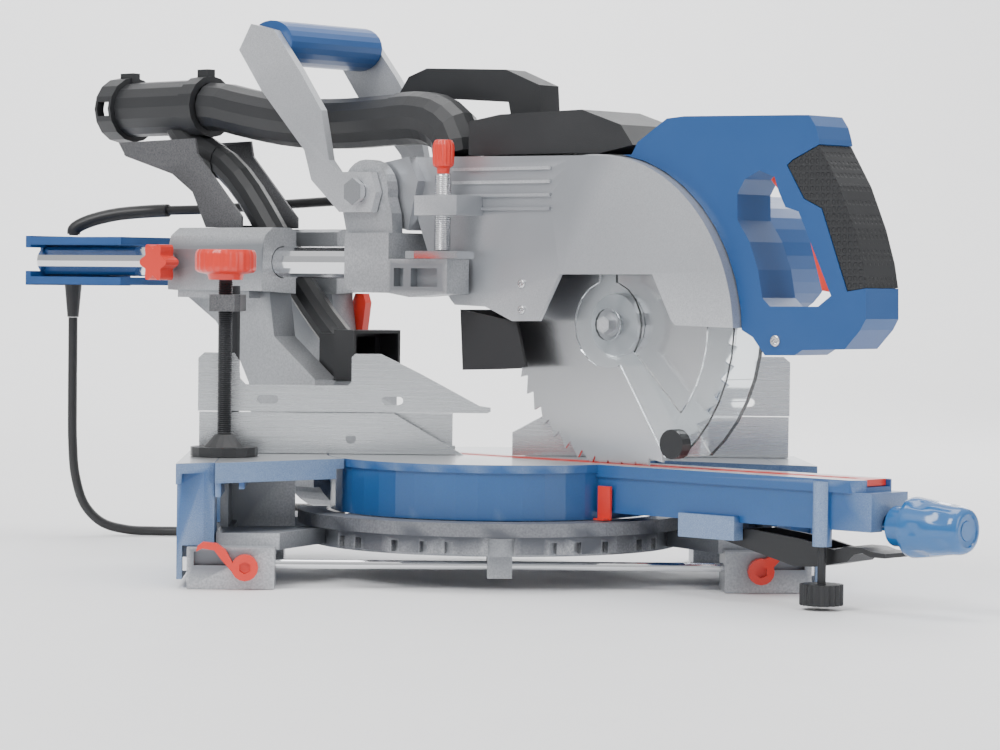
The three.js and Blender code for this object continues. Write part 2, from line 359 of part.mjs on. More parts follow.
// ================= carriage on the rails =================
{
  for (const [x, n] of [[-RAIL_X, 'rail_left'], [RAIL_X, 'rail_right']]) put(armGroup, n, rodF(x, RAIL_Z, RAIL_BACK, RAIL_FRONT - 4, RAIL_R, 24), STEEL, 0.16, 1);
  let s = boxF(-55, 55, -110, -62, 216, 260);
  s = s.add(slabX([[-110, 240], [-62, 240], [0, 240], [0, 214], [-40, 211], [-62, 214], [-100, 214], [-110, 224]], -55, -31));
  s = s.add(slabX([[-110, 240], [-62, 240], [0, 240], [0, 214], [-40, 211], [-62, 214], [-100, 214], [-110, 224]], 31, 55));
  const lug = [[-110, 250], [-62, 250], [-64, 275], ...circle(PIVOT_F, PIVOT_Z, 25, 14, rad(-10), rad(190)), [-117, 275]];
  s = s.add(slabX(lug, -50, -39)).add(slabX(lug, 39, 50));
  for (const x of [-RAIL_X, RAIL_X]) s = s.subtract(rodF(x, RAIL_Z, -115, -65.4, RAIL_R + 0.45, 24));
  s = s.subtract(rodX(PIVOT_F, PIVOT_Z, -60, 60, 8.4, 24));
  s = s.subtract(boxF(-58, -48, -56, -46, 219, 233)).subtract(boxF(-58, -48, -38, -10, 219, 233));
  // room for the bevel lock lever as the carriage comes back
  s = s.subtract(boxF(46.8, 60, -112, 2, 205, 222.4));
  put(armGroup, 'carriage', s, GREY, 0.42, 0.5);
  put(armGroup, 'chop_axle', rodX(PIVOT_F, PIVOT_Z, -60.5, 60.5, 8, 24).add(rodX(PIVOT_F, PIVOT_Z, -64, -59.8, 10.5, 6)), STEEL, 0.3, 1);
  let b = boxF(-56, 56, -498.5, -491.9, 216, 258);
  b = b.add(boxF(-56, 56, -498.5, -374, 250.4, 257)).add(boxF(-56, 56, -498.5, -374, 217, 223.4));
  b = b.subtract(boxF(-23, 23, -470, -380, 245, 260)).subtract(boxF(-23, 23, -470, -380, 210, 225));
  b = b.subtract(boxF(-60, -40, -505.5, -480.5, 228, 248));
  b = b.subtract(rod('z', [-17, 482], 210, 262, 4.6, 20));
  b = b.subtract(boxF(-60, 60, -481.5, -475.5, 229, 245).subtract(boxF(-60, 60, -491.4, -300, 200, 260)));
  put(armGroup, 'rail_bracket', b, BLUE, 0.35, 0);
  put(armGroup, 'stop_lever', slabZ([[-57, 42], [-38, 42], [-36, 30], [-38, -12], [-57, -12], [-60, 30]].map(([a, c]) => [a, c]).reverse(), 240.4, 246), STEEL, 0.3, 0.9);
  // carrying handle
  const arm = [[-216.4, 425.9], [-230.2, 405.8], [-204, 373.1], [-154.1, 324.7], [-145.9, 301.2], [-114.3, 276], [-79.2, 275.8], [-74, 291.1], [-79.6, 306.4], [-116.9, 307], [-126, 316.4], [-135.4, 355.4], [-160.7, 387.4], [-189.7, 419.9]];
  for (const [x0, x1, n] of [[-57, -50.6, 'carry_arm_left'], [50.6, 57, 'carry_arm_right']]) put(armGroup, n, slabX(arm, x0, x1).subtract(rodX(PIVOT_F, PIVOT_Z, -60, 60, 8.4, 24)), GREY, 0.4, 0.6);
  put(armGroup, 'carry_grip', slabX(circle(0, 0, 1, 24).map(([a, c]) => [-201 + 25 * a, 411 + 17.5 * c]), -50.2, 50.2), BLUE, 0.35, 0);
}

// ================= head =================
const GC = (r, n, a0, a1) => circle(GUARD_F, GUARD_Z, r, n, a0, a1);
{
  const rim = GC(GUARD_R, 26, rad(96), rad(3));
  const outer = [[-78, 316], ...[[-60, 318.5], [83.5, 317.2]], ...rim, [200.4, 193.9], [196.4, 197.7], [178.6, 230.1], [89.8, 229.5], [69.2, 194.7], [42.2, 194.2], [14.7, 204.6], [-17.3, 205.6], [-21.4, 209.2], [-39.9, 230.9], [-70, 300]];
  let s = slabX(outer, -GUARD_HALF, GUARD_HALF);
  s = s.add(rodX(PIVOT_F, PIVOT_Z, -38.4, 38.4, 22, 36)).add(slabX([[-93, 269.5], [-60, 262], [-50, 300], [-60, 318.5], [-93, 313.5]], -36, 36));
  // blade chamber, open downwards
  const chamber = slabX([...GC(GUARD_R - WALL, 30, rad(150), rad(-8)), [250, 150], [10, 150]], -25, 25);
  s = s.subtract(chamber);
  s = s.subtract(rodX(PIVOT_F, PIVOT_Z, -60, 60, 8.4, 24));
  // far wall keeps a boss for the spindle
  s = s.add(rodX(BLADE_F, BLADE_Z, 24, 30, 30, 32).add(slabX([[100, 193], [154, 193], [160, 240], [94, 240]], 25, 28)));
  s = s.subtract(rodX(BLADE_F, BLADE_Z, 20, 32, 12.6, 20));
  // ear for the depth stop screw
  s = s.add(boxF(-57, -27, -33, 11, 273, 288)).subtract(rod('z', [-46, 13.5], 260, 300, 3.4, 20));
  // stiffening fins on the near side of the arm
  for (const z of [277, 287, 297, 307]) s = s.add(boxF(-30, -27.5, -20, 80, z, z + 2.4));
  put(armGroup, 'guard', s, 0x9aa0a6, 0.38, 0.55);

  const dep = rod('z', [-46, 13.5], 246.5, 305, 3, 16).add(slabZ(shift(wavy(8, 0.5, 12), -46, 13.5), 304, 330)).add(rod('z', [-46, 13.5], 289, 292.5, 6.5, 6));
  put(armGroup, 'depth_screw', dep, RED, 0.35, 0);

  const hull = [[120, 317], [150, 317], [155.5, 325.8], [182.8, 342.3], [198.9, 343.5], [296, 341.8], [311, 341.4], [316.6, 333.8], [319.6, 324.9], [320.5, 320.4], [337.6, 292.1], [350.8, 262.5], [358.4, 239], [361.4, 225.8], [361.9, 200.9], [357.5, 193.4], [344.2, 179.9], [308, 178.6], [301, 174.7], [275, 174.1], [264, 186.7], [252, 192.5], [200, 200]];
  const opening = [[255, 297.8], [248.5, 287.3], [249, 269], [260, 253.7], [268, 234], [272, 214.4], [279, 208.4], [321, 208.9], [332, 216.5], [303, 274.8], [291.5, 277.8], [285.5, 288.4], [281.5, 299], [268, 303.7]];
  const grip = [[297, 310.3], [319.7, 320.4], [337.6, 292.1], [350.8, 262.5], [358.4, 239], [361.6, 222.4], [346, 220], [323, 276.9], [307.5, 283.9], [292.5, 306.9]];
  const gripCut = [[292, 307.1], [296.7, 310.75], [330, 325.4], [352, 292], [368, 255], [376, 224.2], [345.6, 219.5], [322.7, 276.6], [307.2, 283.5]];
  let h = slabX(hull, -19, 19).subtract(slabX(GC(GUARD_R + 1.0, 40), -40, 40)).subtract(slabX(opening, -40, 40)).subtract(slabX(gripCut, -40, 40));
  h = h.subtract(slabX([[296, 277.5], [313, 277.5], [346.2, 217], [346.2, 212], [322, 212]], -9, 9));
  h = h.subtract(slabX([[271.99, 297.44], [278.86, 303.62], [290.15, 298.93], [294.24, 288.29], [299.14, 278.7], [287.61, 278.7], [282.95, 286.07]], -17, 17));
  put(armGroup, 'handle_shell', h, BLUE, 0.35, 0.1);
  put(armGroup, 'handle_grip', slabX(grip, -18.5, 18.5), BLACK, 0.7, 0);
  put(armGroup, 'trigger', slabX([[304.1, 269], [308, 274.6], [311, 273.8], [338, 219.6], [330, 218], [316, 220], [302.5, 262]], -8, 8), RED, 0.35, 0);
  put(armGroup, 'lock_off', slabX([[273, 297.4], [279, 302.8], [289.6, 298.4], [293.6, 288], [298, 279.4], [288, 279.4], [283.5, 286.5]], -12, 12), RED, 0.35, 0);
  let mo = rodX(190, 245, 28.4, 112, 44, 28).add(rodX(190, 245, 111, 120, 44, 28, 38));
  put(armGroup, 'motor', mo, 0x1b568c, 0.35, 0.1);
  const tc = [[-12, 319.2], [-12, 345], [20, 349.5], [102, 351], [140, 339], [152, 324], [120, 318.5], [84, 319.2]];
  let t = slabX(tc, -20, 46);
  t = t.add(slabX([[-131, 371], [-120, 385], [-100, 391], [-15, 387], [20, 374], [22, 348], [-8, 346], [-12, 362], [-100, 368], [-122, 362], [-131, 362]], 24, 46));
  t = t.subtract(slabX(GC(GUARD_R + 1.0, 40), -60, 60));
  put(armGroup, 'top_cover', t, BLACK, 0.5, 0);
  put(armGroup, 'dust_elbow', tube([A(0, -105.2, 349.7), A(0, -84, 350.5), A(0, -62, 347), A(0, -45, 336), A(0, -40, 319.6)], 21, 14, 8).subtract(boxF(-30, 30, -90, 0, 300, 319.4)), BLACK, 0.5, 0);
  let d = slabX([[-16, 202], [42, 193.6], [52, 160], [-13, 156]], -23, 23).subtract(slabX([[-13, 210], [90, 210], [90, 150], [-10.4, 150]], -20.5, 20.5));
  d = d.subtract(slabX([[-30, 215], [-22, 204.9], [14.7, 203.9], [42.4, 193.4], [69, 193.9], [80, 230]], -30, 30));
  put(armGroup, 'chip_deflector', d, BLACK, 0.8, 0);
  // blade
  const pts = [];
  for (let i = 0; i < TEETH; i++) {
    const a = (i / TEETH) * 2 * Math.PI, p = 2 * Math.PI / TEETH;
    for (const [da, r] of [[0, BLADE_R], [0.1, BLADE_R - 7]]) pts.push([BLADE_F + r * Math.cos(a + da * p), BLADE_Z + r * Math.sin(a + da * p)]);
  }
  put(armGroup, 'blade', slabX(pts, -1, 1, [circle(BLADE_F, BLADE_Z, BORE_R, 24).reverse()]), STEEL, 0.2, 1);
  let ab = join(rodX(BLADE_F, BLADE_Z, -4, 4, 14.4, 20), rodX(BLADE_F, BLADE_Z, -8.5, -1.4, 23, 24), rodX(BLADE_F, BLADE_Z, 1.4, 9, 23, 24), rodX(BLADE_F, BLADE_Z, 8, 29.6, 12, 16), rodX(BLADE_F, BLADE_Z, -14, -8, 9, 16), rodX(BLADE_F, BLADE_Z, -22, -13, 6.5, 6));
  put(armGroup, 'arbor', ab, 0x8c9094, 0.3, 0.9);
  // lower guard: clear shell around both sides of the rim, on a hub ring at the near side
  const C = (r, n, a0, a1) => circle(BLADE_F, BLADE_Z, r, n, rad(a0), rad(a1));
  const sec = (r0, r1, a0, a1, x0, x1, n) => slabX([...C(r1, n, a0, a1), ...C(r0, n, a0, a1).reverse()], x0, x1);
  let g = join(sec(94, 119, -52, 150, -17, -14.6, 24), sec(94, 119, -52, 150, 14.6, 17, 24), sec(116.6, 119, -52, 150, -17, 17, 24));
  g = g.add(slabX(C(32, 20, 0, 360).slice(0, 20), -17, -14.6)).add(slabX([[118, 196], [140, 186], [210, 118], [190, 100], [183, 98]], -17, -14.6));
  g = g.add(slabX([[118, 193], [136, 193], [132, 300], [120, 300]], -17, -14.6));
  g = g.subtract(rodX(BLADE_F, BLADE_Z, -30, -10, 12, 28));
  g = g.subtract(rodX(197.3, 108.5, -30, -10, 3.4, 16));
  put(armGroup, 'lower_guard', g, CLEAR, 0.1, 0);
  put(armGroup, 'guard_roller', rodX(197.3, 108.5, -27, -17.4, 10.8, 28).add(rodX(197.3, 108.5, -20, -14, 3, 16)), BLACK, 0.4, 0);
}

// ================= mains lead =================
{
  const gx = -17, gf = -482;
  put(armGroup, 'cord_held', join(tube([A(44, -119.8, 291), A(45, -150, 290), A(45, -220, 288), A(44, -300, 285), A(40, -370, 282), A(24, -425, 280.5), A(5, -455, 277), A(-11, -474, 270), A(-16.8, -481.6, 264), A(-17, -482, 259)], CORD_R, 8, 26),
    tube([A(28, -411, 281), A(24, -425, 280.5), A(5, -455, 277), A(-11, -474, 270), A(-16.8, -481.6, 264), A(-17, -482, 260)], 5.6, 8, 12)), BLACK, 0.5, 0);
  put(armGroup, 'cord_gland', rod('z', [gx, -gf], 188.8, 216.6, 4.9, 20, 7.4), BLACK, 0.5, 0);
}

// The free lead is drawn in the base's own frame: straight down from the gland, along
// the floor and into a flat round coil behind the left wing, with the plug beside it.
const c45 = Math.SQRT1_2;
const GL = [(-17 + -482) * c45, (-17 + 482) * c45]; // gland axis on plan
export const LEAD = [
  [GL[0], GL[1], 188.5], [GL[0], GL[1], 160], [GL[0], GL[1], 120], [GL[0] + 0.5, GL[1], 80], [GL[0] + 3, GL[1], 52],
  [GL[0] + 11, GL[1] + 0.5, 27], [GL[0] + 26, GL[1] + 2, 11.5], [GL[0] + 48, GL[1] + 4, 5.2], [GL[0] + 70, GL[1] + 5, 4.2],
  [GL[0] + 92, GL[1] + 3, 4.2], [GL[0] + 112, GL[1] - 4, 4.2], [GL[0] + 132, GL[1] - 13, 4.2]];
const COIL_IN = 31, COIL_OUT = 58, COIL_H = 24.6;
const END = LEAD[LEAD.length - 1];
const dirL = Math.atan2(END[1] - LEAD[LEAD.length - 2][1], END[0] - LEAD[LEAD.length - 2][0]);
// the lead runs on in line with the outermost turn, 54 mm from the middle of the coil
const COIL = [END[0] + 31 * Math.cos(dirL) - 54 * Math.sin(dirL), END[1] + 31 * Math.sin(dirL) + 54 * Math.cos(dirL)];
put(baseGroup, 'cord_lead', tube(LEAD, CORD_R, 8, 26), BLACK, 0.5, 0);
{
  const ringPts = [[COIL_IN, 0.2], [COIL_OUT, 0.2], [COIL_OUT, COIL_H], [COIL_IN, COIL_H], [COIL_IN, 0.2]].map(([a, b]) => new THREE.Vector2(a, b));
  const g = new THREE.LatheGeometry(ringPts, 40); g.rotateX(Math.PI / 2); g.translate(COIL[0], COIL[1], 0);
  let s = toSolid(g);
  put(baseGroup, 'cord_coil', s, BLACK, 0.5, 0);
  let p = rod('x', [COIL[1] + 4, 20], COIL[0] + COIL_OUT + 12, COIL[0] + COIL_OUT + 44, 18, 24).add(rod('x', [COIL[1] + 4, 20], COIL[0] + COIL_OUT + 43, COIL[0] + COIL_OUT + 50, 19.5, 24));
  p = p.add(rod('x', [COIL[1] + 4, 20], COIL[0] + COIL_OUT + 0.6, COIL[0] + COIL_OUT + 13, 5, 16, 7));
  for (const dy of [-9.5, 9.5]) p = p.add(rod('x', [COIL[1] + 4 + dy, 20], COIL[0] + COIL_OUT + 49, COIL[0] + COIL_OUT + 68, 2.4, 12));
  put(baseGroup, 'plug', p, BLACK, 0.5, 0);
}

export default root;
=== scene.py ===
import json
import math
import bpy
import bmesh
from mathutils import Vector, Matrix

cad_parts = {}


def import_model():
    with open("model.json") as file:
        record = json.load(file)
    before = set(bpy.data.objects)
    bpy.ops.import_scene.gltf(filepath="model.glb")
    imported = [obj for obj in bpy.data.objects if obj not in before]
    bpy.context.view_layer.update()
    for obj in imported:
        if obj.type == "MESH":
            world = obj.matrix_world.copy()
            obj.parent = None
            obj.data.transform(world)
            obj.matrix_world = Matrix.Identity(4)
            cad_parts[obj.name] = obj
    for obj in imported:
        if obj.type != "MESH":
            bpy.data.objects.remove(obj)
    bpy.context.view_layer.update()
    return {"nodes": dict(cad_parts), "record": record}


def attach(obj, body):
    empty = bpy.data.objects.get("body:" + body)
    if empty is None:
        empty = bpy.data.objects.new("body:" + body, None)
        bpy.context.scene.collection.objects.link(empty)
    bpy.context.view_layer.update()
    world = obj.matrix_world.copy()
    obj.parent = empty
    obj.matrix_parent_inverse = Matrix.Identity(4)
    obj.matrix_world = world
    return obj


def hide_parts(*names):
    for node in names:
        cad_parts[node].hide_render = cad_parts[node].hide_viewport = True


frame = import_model()
NODES = frame["nodes"]

# ------------------------------------------------------------------ frames
C45 = math.sqrt(0.5)
ORG = Vector((0.03723, -0.03723, 0.0))
T = 90.5


def A(x, f, z):
    """arm frame in mm (across, forward, up) to metres in the row frame"""
    return Vector((C45 * (x + f) / 1000 + ORG.x, C45 * (x - f) / 1000 + ORG.y, z / 1000))


def B(x, y, z):
    """base frame in mm to metres in the row frame"""
    return Vector((x / 1000 + ORG.x, y / 1000 + ORG.y, z / 1000))


AX = Vector((C45, C45, 0))      # across the arm, to its right
AF = Vector((C45, -C45, 0))     # forward along the arm
UP = Vector((0, 0, 1))

# ------------------------------------------------------------------ camera
alpha, pitch, roll = math.radians(-2.2), math.atan(95 / 3200), 0.0115
fw = Vector((-math.sin(alpha) * math.cos(pitch), math.cos(alpha) * math.cos(pitch), -math.sin(pitch)))
rt = Vector((math.cos(alpha), math.sin(alpha), 0))
up = rt.cross(fw)
r2 = rt * math.cos(roll) + up * math.sin(roll)
u2 = up * math.cos(roll) - rt * math.sin(roll)
cam_data = bpy.data.cameras.new("camera")
cam_data.sensor_width = 36
cam_data.lens = 115.2
cam_data.clip_start, cam_data.clip_end = 0.05, 60
cam = bpy.data.objects.new("camera", cam_data)
bpy.context.scene.collection.objects.link(cam)
m = Matrix((r2, u2, -fw)).transposed().to_4x4()
m.translation = Vector((-0.053155, -2.47956, 0.2248))
cam.matrix_world = m
bpy.context.scene.camera = cam


# ------------------------------------------------------------------ materials
def mat(name, color, rough=0.4, metal=0.0, **k):
    """Principled material with fine procedural detail: k may hold tint (colour spread), scale, bump, stretch, coat,
    trans, ior, aniso, wear, spec, dots"""
    M = bpy.data.materials.new(name)
    M.use_nodes = True
    nt = M.node_tree
    N, L = nt.nodes, nt.links
    p = N["Principled BSDF"]
    p.inputs["Base Color"].default_value = (*color, 1)
    p.inputs["Roughness"].default_value = rough
    p.inputs["Metallic"].default_value = metal
    p.inputs["Specular IOR Level"].default_value = k.get("spec", 0.5)
    if "coat" in k:
        p.inputs["Coat Weight"].default_value = k["coat"]
        p.inputs["Coat Roughness"].default_value = k.get("coat_rough", 0.08)
    if "trans" in k:
        p.inputs["Transmission Weight"].default_value = k["trans"]
        p.inputs["IOR"].default_value = k.get("ior", 1.45)
    if "aniso" in k:
        p.inputs["Anisotropic"].default_value = k["aniso"]
    tc = N.new("ShaderNodeTexCoord")
    mp = N.new("ShaderNodeMapping")
    mp.inputs["Rotation"].default_value = (0, 0, k.get("turn", 0.0))
    mp.inputs["Scale"].default_value = k.get("stretch", (1, 1, 1))
    L.new(tc.outputs["Object"], mp.inputs["Vector"])
    n1 = N.new("ShaderNodeTexNoise")
    n1.inputs["Scale"].default_value = k.get("scale", 900)
    n1.inputs["Detail"].default_value = 3
    L.new(mp.outputs[0], n1.inputs["Vector"])
    n2 = N.new("ShaderNodeTexNoise")
    n2.inputs["Scale"].default_value = k.get("broad", 14)
    n2.inputs["Detail"].default_value = 5
    n2.inputs["Roughness"].default_value = 0.6
    L.new(tc.outputs["Object"], n2.inputs["Vector"])
    # colour: broad cloudiness, plus lighter worn edges
    tint = k.get("tint", 0.12)
    mx = N.new("ShaderNodeMix"); mx.data_type = "RGBA"; mx.blend_type = "MIX"
    mx.inputs["A"].default_value = (*[c * (1 - tint) for c in color], 1)
    mx.inputs["B"].default_value = (*[min(1, c * (1 + tint) + 0.01) for c in color], 1)
    L.new(n2.outputs["Fac"], mx.inputs["Factor"])
    out = mx.outputs["Result"]
    if k.get("flake"):
        fl = N.new("ShaderNodeTexVoronoi"); fl.inputs["Scale"].default_value = 2600
        L.new(tc.outputs["Object"], fl.inputs["Vector"])
        m3 = N.new("ShaderNodeMix"); m3.data_type = "RGBA"; m3.blend_type = "OVERLAY"
        m3.inputs["Factor"].default_value = k["flake"]
        L.new(out, m3.inputs["A"]); L.new(fl.outputs["Color"], m3.inputs["B"])
        out = m3.outputs["Result"]
    if k.get("wear"):
        ge = N.new("ShaderNodeNewGeometry")
        rp = N.new("ShaderNodeMapRange")
        rp.inputs["From Min"].default_value = 0.53
        rp.inputs["From Max"].default_value = 0.60
        L.new(ge.outputs["Pointiness"], rp.inputs["Value"])
        ml = N.new("ShaderNodeMath"); ml.operation = "MULTIPLY"
        L.new(rp.outputs[0], ml.inputs[0]); L.new(n1.outputs["Fac"], ml.inputs[1])
        m4 = N.new("ShaderNodeMix"); m4.data_type = "RGBA"
        m4.inputs["B"].default_value = (*k["wear"], 1)
        L.new(ml.outputs[0], m4.inputs["Factor"]); L.new(out, m4.inputs["A"])
        out = m4.outputs["Result"]
    if k.get("top"):
        # ground faces: anything at table height or higher is bare metal
        sp = N.new("ShaderNodeSeparateXYZ"); L.new(tc.outputs["Object"], sp.inputs[0])
        gt = N.new("ShaderNodeMath"); gt.operation = "GREATER_THAN"; gt.inputs[1].default_value = k["top"]
        L.new(sp.outputs["Z"], gt.inputs[0])
        m5 = N.new("ShaderNodeMix"); m5.data_type = "RGBA"; m5.inputs["B"].default_value = (0.62, 0.64, 0.66, 1)
        L.new(gt.outputs[0], m5.inputs["Factor"]); L.new(out, m5.inputs["A"]); out = m5.outputs["Result"]
        mm = N.new("ShaderNodeMath"); mm.operation = "MULTIPLY"; mm.inputs[1].default_value = 0.9
        L.new(gt.outputs[0], mm.inputs[0]); L.new(mm.outputs[0], p.inputs["Metallic"])
    L.new(out, p.inputs["Base Color"])
    rr = N.new("ShaderNodeMapRange")
    s = k.get("rvar", 0.07)
    rr.inputs["To Min"].default_value = max(0.02, rough - s)
    rr.inputs["To Max"].default_value = min(1, rough + s)
    L.new(n1.outputs["Fac"] if k.get("fine_rough") else n2.outputs["Fac"], rr.inputs["Value"])
    L.new(rr.outputs[0], p.inputs["Roughness"])
    bp = N.new("ShaderNodeBump")
    bp.inputs["Strength"].default_value = k.get("bump", 0.15)
    bp.inputs["Distance"].default_value = k.get("dist", 0.0002)
    L.new(n1.outputs["Fac"], bp.inputs["Height"])
    nrm = bp.outputs[0]
    if k.get("dots"):
        v = N.new("ShaderNodeTexVoronoi"); v.inputs["Scale"].default_value = k["dots"]; v.inputs["Randomness"].default_value = 0
        m6 = N.new("ShaderNodeMapping"); m6.inputs["Rotation"].default_value = k.get("dot_turn", (0, 0, math.radians(45)))
        L.new(tc.outputs["Object"], m6.inputs["Vector"]); L.new(m6.outputs[0], v.inputs["Vector"])
        mr = N.new("ShaderNodeMapRange"); mr.inputs["From Min"].default_value = 0.30; mr.inputs["From Max"].default_value = 0.42
        L.new(v.outputs["Distance"], mr.inputs["Value"])
        b2 = N.new("ShaderNodeBump"); b2.inputs["Strength"].default_value = 0.9; b2.inputs["Distance"].default_value = 0.0012
        L.new(mr.outputs[0], b2.inputs["Height"]); L.new(nrm, b2.inputs["Normal"]); nrm = b2.outputs[0]
    if k.get("rings"):
        # turned marks round the piece's own Z axis
        sp = N.new("ShaderNodeSeparateXYZ"); L.new(tc.outputs["Object"], sp.inputs[0])
        cb = N.new("ShaderNodeCombineXYZ"); L.new(sp.outputs[0], cb.inputs[0]); L.new(sp.outputs[1], cb.inputs[1])
        ln = N.new("ShaderNodeVectorMath"); ln.operation = "LENGTH"; L.new(cb.outputs[0], ln.inputs[0])
        n3 = N.new("ShaderNodeTexNoise"); n3.noise_dimensions = "1D"; n3.inputs["Scale"].default_value = k["rings"]; n3.inputs["Detail"].default_value = 4
        L.new(ln.outputs["Value"], n3.inputs["W"])
        b3 = N.new("ShaderNodeBump"); b3.inputs["Strength"].default_value = 0.25; b3.inputs["Distance"].default_value = 0.0001
        L.new(n3.outputs["Fac"], b3.inputs["Height"]); L.new(nrm, b3.inputs["Normal"]); nrm = b3.outputs[0]
        tg = N.new("ShaderNodeTangent"); tg.direction_type = "RADIAL"; tg.axis = "Z"
        L.new(tg.outputs[0], p.inputs["Tangent"])
    L.new(nrm, p.inputs["Normal"])
    return M


BLUE = (0.012, 0.085, 0.26)
M_ = {
    "blue_cast": mat("blue_cast", BLUE, 0.34, 0.45, flake=0.10, bump=0.12, scale=1500, wear=(0.35, 0.45, 0.6), top=0.09035, coat=0.3),
    "blue_shell": mat("blue_shell", (0.008, 0.070, 0.235), 0.36, 0.0, bump=0.22, scale=2200, dist=0.00015, coat=0.15, tint=0.06),
    "knob_blue": mat("knob_blue", (0.012, 0.12, 0.34), 0.2, 0.0, bump=0.05, scale=700, coat=0.7, tint=0.05),
    "grey_cast": mat("grey_cast", (0.27, 0.285, 0.305), 0.42, 0.65, bump=0.35, scale=700, wear=(0.75, 0.76, 0.78), tint=0.1),
    # detent plate material: its near-black grey is painted shade that stands in for the shadow under the turntable;
    # only the lighter edges are wear
    "dark_cast": mat("dark_cast", (0.105, 0.112, 0.13), 0.45, 0.6, bump=0.4, scale=650, wear=(0.55, 0.56, 0.58), tint=0.12),
    "foot_cast": mat("foot_cast", (0.23, 0.245, 0.27), 0.42, 0.6, bump=0.4, scale=650, wear=(0.7, 0.71, 0.73), tint=0.1),
    "guard_cast": mat("guard_cast", (0.37, 0.385, 0.41), 0.36, 0.6, bump=0.3, scale=1100, dist=0.00015, wear=(0.8, 0.81, 0.83), tint=0.05),
    "machined": mat("machined", (0.66, 0.68, 0.70), 0.27, 0.95, bump=0.25, scale=260, stretch=(0.06, 1, 3), fine_rough=True, tint=0.06, dist=0.0001),
    "bright_steel": mat("bright_steel", (0.80, 0.81, 0.83), 0.13, 1.0, bump=0.06, scale=500, tint=0.04, rvar=0.03),
    "screw_steel": mat("screw_steel", (0.70, 0.70, 0.71), 0.24, 1.0, bump=0.1, scale=900, tint=0.1),
    "blade_steel": mat("blade_steel", (0.74, 0.75, 0.77), 0.24, 1.0, bump=0.04, scale=900, tint=0.05, rings=1600, aniso=0.75, rvar=0.03),
    "carbide": mat("carbide", (0.42, 0.43, 0.45), 0.3, 1.0, bump=0.1, scale=900),
    "black_steel": mat("black_steel", (0.022, 0.023, 0.026), 0.36, 0.5, bump=0.15, scale=900, wear=(0.25, 0.25, 0.26)),
    "black_plastic": mat("black_plastic", (0.016, 0.017, 0.019), 0.42, 0.0, bump=0.45, scale=1500, dist=0.00025, tint=0.15),
    "black_gloss": mat("black_gloss", (0.012, 0.012, 0.014), 0.25, 0.0, bump=0.15, scale=1000, tint=0.1),
    "black_rubber": mat("black_rubber", (0.02, 0.021, 0.023), 0.6, 0.0, bump=0.3, scale=1600, dots=210, spec=0.35),
    "flap_rubber": mat("flap_rubber", (0.02, 0.02, 0.022), 0.55, 0.0, bump=0.25, scale=400, spec=0.4),
    "red_plastic": mat("red_plastic", (0.72, 0.03, 0.015), 0.33, 0.0, bump=0.12, scale=1200, coat=0.2, tint=0.08),
    "clear_guard": mat("clear_guard", (0.93, 0.96, 0.97), 0.05, 0.0, trans=0.97, ior=1.3, bump=0.02, scale=200, tint=0.02, rvar=0.02),
    "cord_sheath": mat("cord_sheath", (0.016, 0.016, 0.017), 0.42, 0.0, bump=0.2, scale=1400, tint=0.1),
    "light_line": mat("light_line", (0.25, 0.52, 0.82), 0.4, 0.0, bump=0.05),
}


def node_mat(n, key):
    o = NODES[n]
    o.data.materials.clear()
    o.data.materials.append(M_[key])


# smooth-by-angle as a node modifier, so that the CAD meshes themselves stay untouched
def smooth_group(angle):
    g = bpy.data.node_groups.new("soft_edges_%d" % angle, "GeometryNodeTree")
    g.interface.new_socket("Geometry", in_out="INPUT", socket_type="NodeSocketGeometry")
    g.interface.new_socket("Geometry", in_out="OUTPUT", socket_type="NodeSocketGeometry")
    i, o = g.nodes.new("NodeGroupInput"), g.nodes.new("NodeGroupOutput")
    a = g.nodes.new("GeometryNodeSetShadeSmooth"); a.domain = "FACE"
    b = g.nodes.new("GeometryNodeSetShadeSmooth"); b.domain = "EDGE"
    e = g.nodes.new("GeometryNodeInputMeshEdgeAngle")
    c = g.nodes.new("FunctionNodeCompare"); c.data_type = "FLOAT"; c.operation = "LESS_THAN"
    c.inputs[1].default_value = math.radians(angle)
    g.links.new(e.outputs["Unsigned Angle"], c.inputs[0])
    g.links.new(i.outputs[0], a.inputs["Geometry"])
    g.links.new(a.outputs[0], b.inputs["Geometry"])
    g.links.new(c.outputs[0], b.inputs["Shade Smooth"])
    g.links.new(b.outputs[0], o.inputs[0])
    return g


SMOOTH = smooth_group(40)


def soften(o, width=0.0006, seg=2, angle=35, dissolve=True):
    if dissolve:
        d = o.modifiers.new("flat", "DECIMATE"); d.decimate_type = "DISSOLVE"; d.angle_limit = math.radians(0.6)
    if width:
        b = o.modifiers.new("edge", "BEVEL"); b.width = width; b.segments = seg; b.limit_method = "ANGLE"
        b.angle_limit = math.radians(angle); b.harden_normals = False; b.use_clamp_overlap = True; b.miter_outer = "MITER_ARC"
    s = o.modifiers.new("smooth", "NODES"); s.node_group = SMOOTH
    w = o.modifiers.new("wn", "WEIGHTED_NORMAL"); w.keep_sharp = True; w.weight = 60


slots = {s["node"]: s["material_slot"] for s in frame["record"]["subparts"]} if "subparts" in frame["record"] else {}
# detent_plate takes the painted-shade grey, which stands in for the shadow under the turntable
SPECIAL = {"base_casting": "foot_cast", "detent_plate": "dark_cast", "chip_deflector": "flap_rubber", "clamp_pad": "black_plastic",
           "mitre_knob": "knob_blue", "arbor": "guard_cast"}
for n, o in NODES.items():
    key = SPECIAL.get(n, slots.get(n, "grey_cast"))
    node_mat(n, key)
    soften(o)


# ------------------------------------------------------------------ mesh helpers
def obj(name, me, body, key):
    o = bpy.data.objects.new(name, me)
    bpy.context.scene.collection.objects.link(o)
    if M_.get(key) is not None:
        me.materials.append(M_[key])
    if body:
        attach(o, body)
    return o


